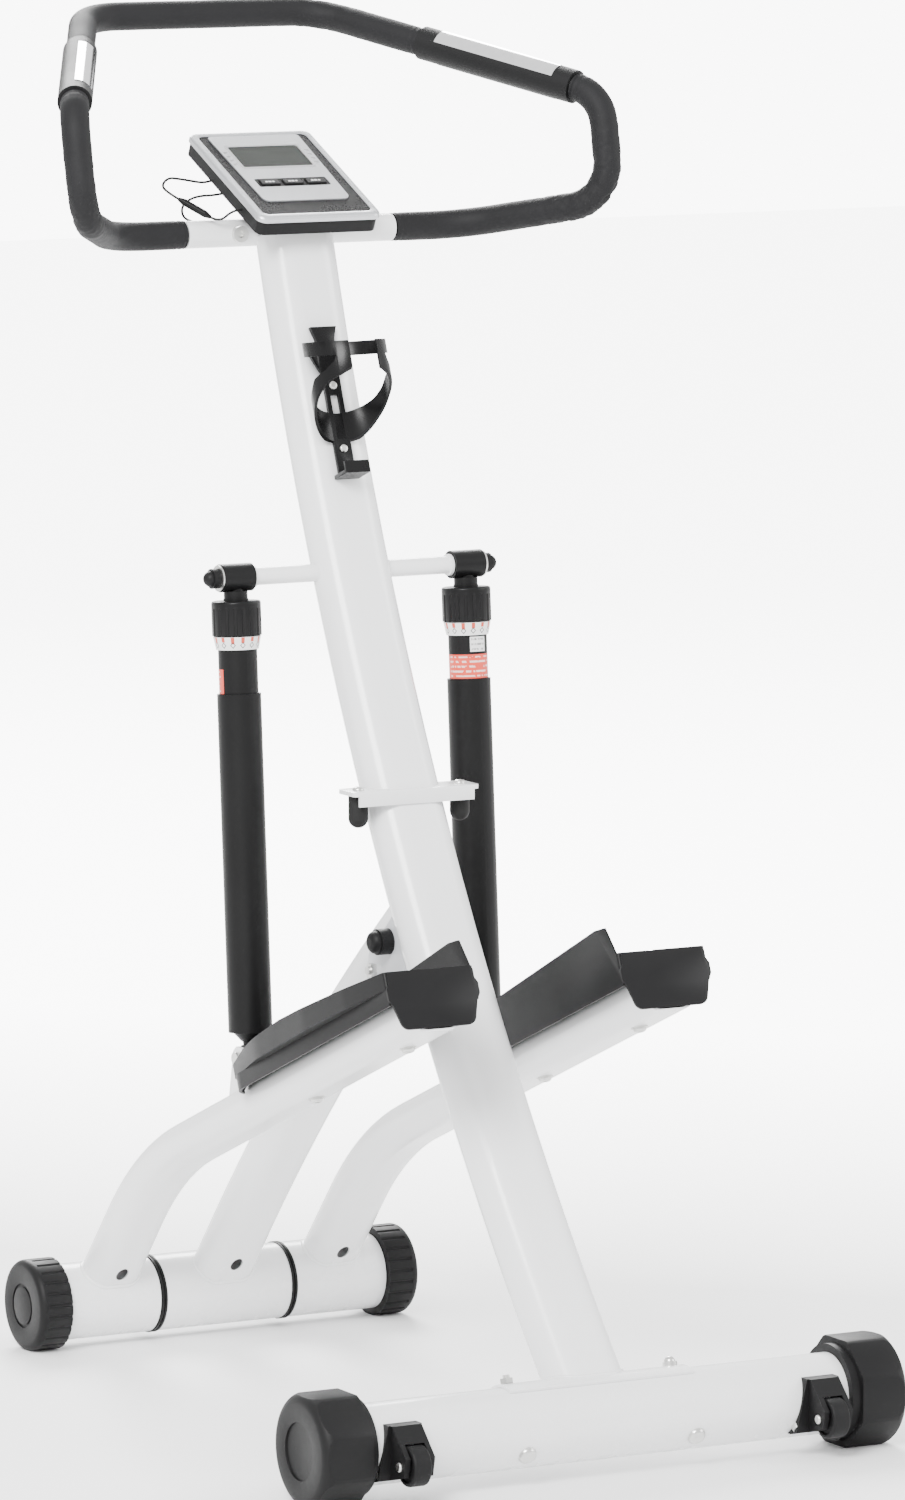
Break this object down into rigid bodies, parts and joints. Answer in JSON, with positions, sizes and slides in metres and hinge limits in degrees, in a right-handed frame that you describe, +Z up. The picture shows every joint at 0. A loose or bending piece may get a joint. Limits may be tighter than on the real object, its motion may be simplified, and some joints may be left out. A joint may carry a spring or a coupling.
{
  "type": "stepper",
  "caption": "Upright stair stepper: bowed column, wide handlebar loop with foam, small console, twin hinged pedal arms on sleeved dampers.",
  "frame": {"origin": "centre of the footprint on the floor", "axes": "+Z up, +Y the way the user faces, +X to the user's right"},
  "size_m": [0.62, 0.8956, 1.3302],
  "materials": {
    "white_paint": "gloss powder coat",
    "black_cap": "satin moulded",
    "wheel_plastic": "satin moulded",
    "bright_steel": "zinc plated",
    "shaft_steel": "turned",
    "bush_plastic": "smooth",
    "grey_plate": "satin paint",
    "black_rubber": "matte",
    "cage_plastic": "smooth moulded",
    "loop_steel": "bare tube",
    "black_foam": "fine cell foam",
    "grip_plastic": "fine texture",
    "contact_chrome": "polished",
    "black_housing": "fine texture",
    "silver_plastic": "silver paint",
    "black_gloss": "glossy film",
    "screen": "dark display window",
    "lead_rubber": "smooth jacket",
    "button_plastic": "satin",
    "black_sheet": "satin black coat",
    "tread_rubber": "ribbed",
    "damper_black": "satin black",
    "sleeve_black": "smooth moulded",
    "dial_white": "smooth",
    "knob_plastic": "ribbed gloss"
  },
  "bodies": {
    "frame": {"rear_tube": "white_paint", "rear_cap_right": "black_cap", "rear_cap_left": "black_cap", "wheel_bracket_right": "black_cap", "wheel_bracket_left": "black_cap", "saddle_plate": "white_paint", "base_fixings": "bright_steel", "pivot_shaft": "shaft_steel", "pivot_bushes": "bush_plastic", "front_cap_right": "black_cap", "front_cap_left": "black_cap", "centre_tube": "white_paint", "strut": "white_paint", "strut_gussets": "grey_plate", "crossbar": "white_paint", "pivot_caps": "black_cap", "stop_plate": "white_paint", "stop_bumpers": "black_rubber", "main_column": "white_paint", "handlebar_loop": "loop_steel", "pulse_grips": "grip_plastic", "pulse_contacts": "contact_chrome", "handlebar_foam": "black_foam", "handlebar_sleeve": "white_paint", "console_back": "black_housing", "console_bezel": "silver_plastic", "console_panel": "silver_plastic", "console_screen": "screen", "console_inlay": "black_gloss", "console_mount": "black_housing", "sensor_lead": "lead_rubber", "lead_plug": "black_housing", "column_lead": "lead_rubber", "pulse_lead": "lead_rubber", "bottle_cage": "cage_plastic", "column_fixings": "bright_steel"},
    "arm_left": {"pedal_arm_left": "white_paint", "pedal_pan_left": "black_sheet", "tread_pad_left": "tread_rubber", "pedal_bolts_left": "bright_steel"},
    "arm_right": {"pedal_arm_right": "white_paint", "pedal_pan_right": "black_sheet", "tread_pad_right": "tread_rubber", "pedal_bolts_right": "bright_steel"},
    "damper_left": {"damper_body_left": "damper_black", "damper_dial_left": "dial_white"},
    "damper_right": {"damper_body_right": "damper_black", "damper_dial_right": "dial_white"},
    "damper_lower_left": {"damper_sleeve_left": "sleeve_black", "damper_rod_left": "damper_black"},
    "damper_lower_right": {"damper_sleeve_right": "sleeve_black", "damper_rod_right": "damper_black"},
    "knob_left": {"damper_knob_left": "knob_plastic"},
    "knob_right": {"damper_knob_right": "knob_plastic"},
    "wheel_left": {"transport_wheel_left": "wheel_plastic"},
    "wheel_right": {"transport_wheel_right": "wheel_plastic"},
    "button_left": {"button_left": "button_plastic"},
    "button_middle": {"button_middle": "button_plastic"},
    "button_right": {"button_right": "button_plastic"}
  },
  "joints": [
    {"name": "pedal_left_press", "type": "hinge", "parent": "frame", "child": "arm_left", "pos_m": [-0.124, 0.4022, 0.045], "axis": [1, 0, 0], "range_deg": [0, 14], "stiffness_Nm_per_rad": 120, "springref_deg": -20.05},
    {"name": "damper_left_swing", "type": "hinge", "parent": "frame", "child": "damper_left", "pos_m": [-0.1255, 0.10608, 0.795], "axis": [1, 0, 0], "range_deg": [-6.3, 0.3]},
    {"name": "damper_left_stroke", "type": "slide", "parent": "damper_left", "child": "damper_lower_left", "axis": [0, -0.067, -0.9978], "range_m": [-0.001, 0.0937]},
    {"name": "damper_left_dial", "type": "hinge", "parent": "damper_left", "child": "knob_left", "pos_m": [-0.1255, 0.1036, 0.75808], "axis": [0, -0.067, -0.9978], "range_deg": [-150, 150]},
    {"name": "wheel_left_roll", "type": "hinge", "parent": "frame", "child": "wheel_left", "pos_m": [-0.222, -0.4288, 0.04], "axis": [1, 0, 0], "continuous": true},
    {"name": "pedal_right_press", "type": "hinge", "parent": "frame", "child": "arm_right", "pos_m": [0.124, 0.4022, 0.045], "axis": [1, 0, 0], "range_deg": [0, 14], "stiffness_Nm_per_rad": 120, "springref_deg": -20.05},
    {"name": "damper_right_swing", "type": "hinge", "parent": "frame", "child": "damper_right", "pos_m": [0.1255, 0.10608, 0.795], "axis": [1, 0, 0], "range_deg": [-6.3, 0.3]},
    {"name": "damper_right_stroke", "type": "slide", "parent": "damper_right", "child": "damper_lower_right", "axis": [0, -0.067, -0.9978], "range_m": [-0.001, 0.0937]},
    {"name": "damper_right_dial", "type": "hinge", "parent": "damper_right", "child": "knob_right", "pos_m": [0.1255, 0.1036, 0.75808], "axis": [0, -0.067, -0.9978], "range_deg": [-150, 150]},
    {"name": "wheel_right_roll", "type": "hinge", "parent": "frame", "child": "wheel_right", "pos_m": [0.222, -0.4288, 0.04], "axis": [1, 0, 0], "continuous": true},
    {"name": "button_left_press", "type": "slide", "parent": "frame", "child": "button_left", "axis": [0, 0.4289, -0.9033], "range_m": [0, 0.001], "stiffness_N_per_m": 400, "springref_m": -0.0005},
    {"name": "button_middle_press", "type": "slide", "parent": "frame", "child": "button_middle", "axis": [0, 0.4289, -0.9033], "range_m": [0, 0.001], "stiffness_N_per_m": 400, "springref_m": -0.0005},
    {"name": "button_right_press", "type": "slide", "parent": "frame", "child": "button_right", "axis": [0, 0.4289, -0.9033], "range_m": [0, 0.001], "stiffness_N_per_m": 400, "springref_m": -0.0005}
  ],
  "couplings": [
    {"joint": "damper_left_swing", "follows": "pedal_left_press", "ratio": -0.4284},
    {"joint": "damper_left_stroke", "follows": "pedal_left_press", "m_per_rad": 0.3795},
    {"joint": "damper_right_swing", "follows": "pedal_right_press", "ratio": -0.4284},
    {"joint": "damper_right_stroke", "follows": "pedal_right_press", "m_per_rad": 0.3795}
  ]
}
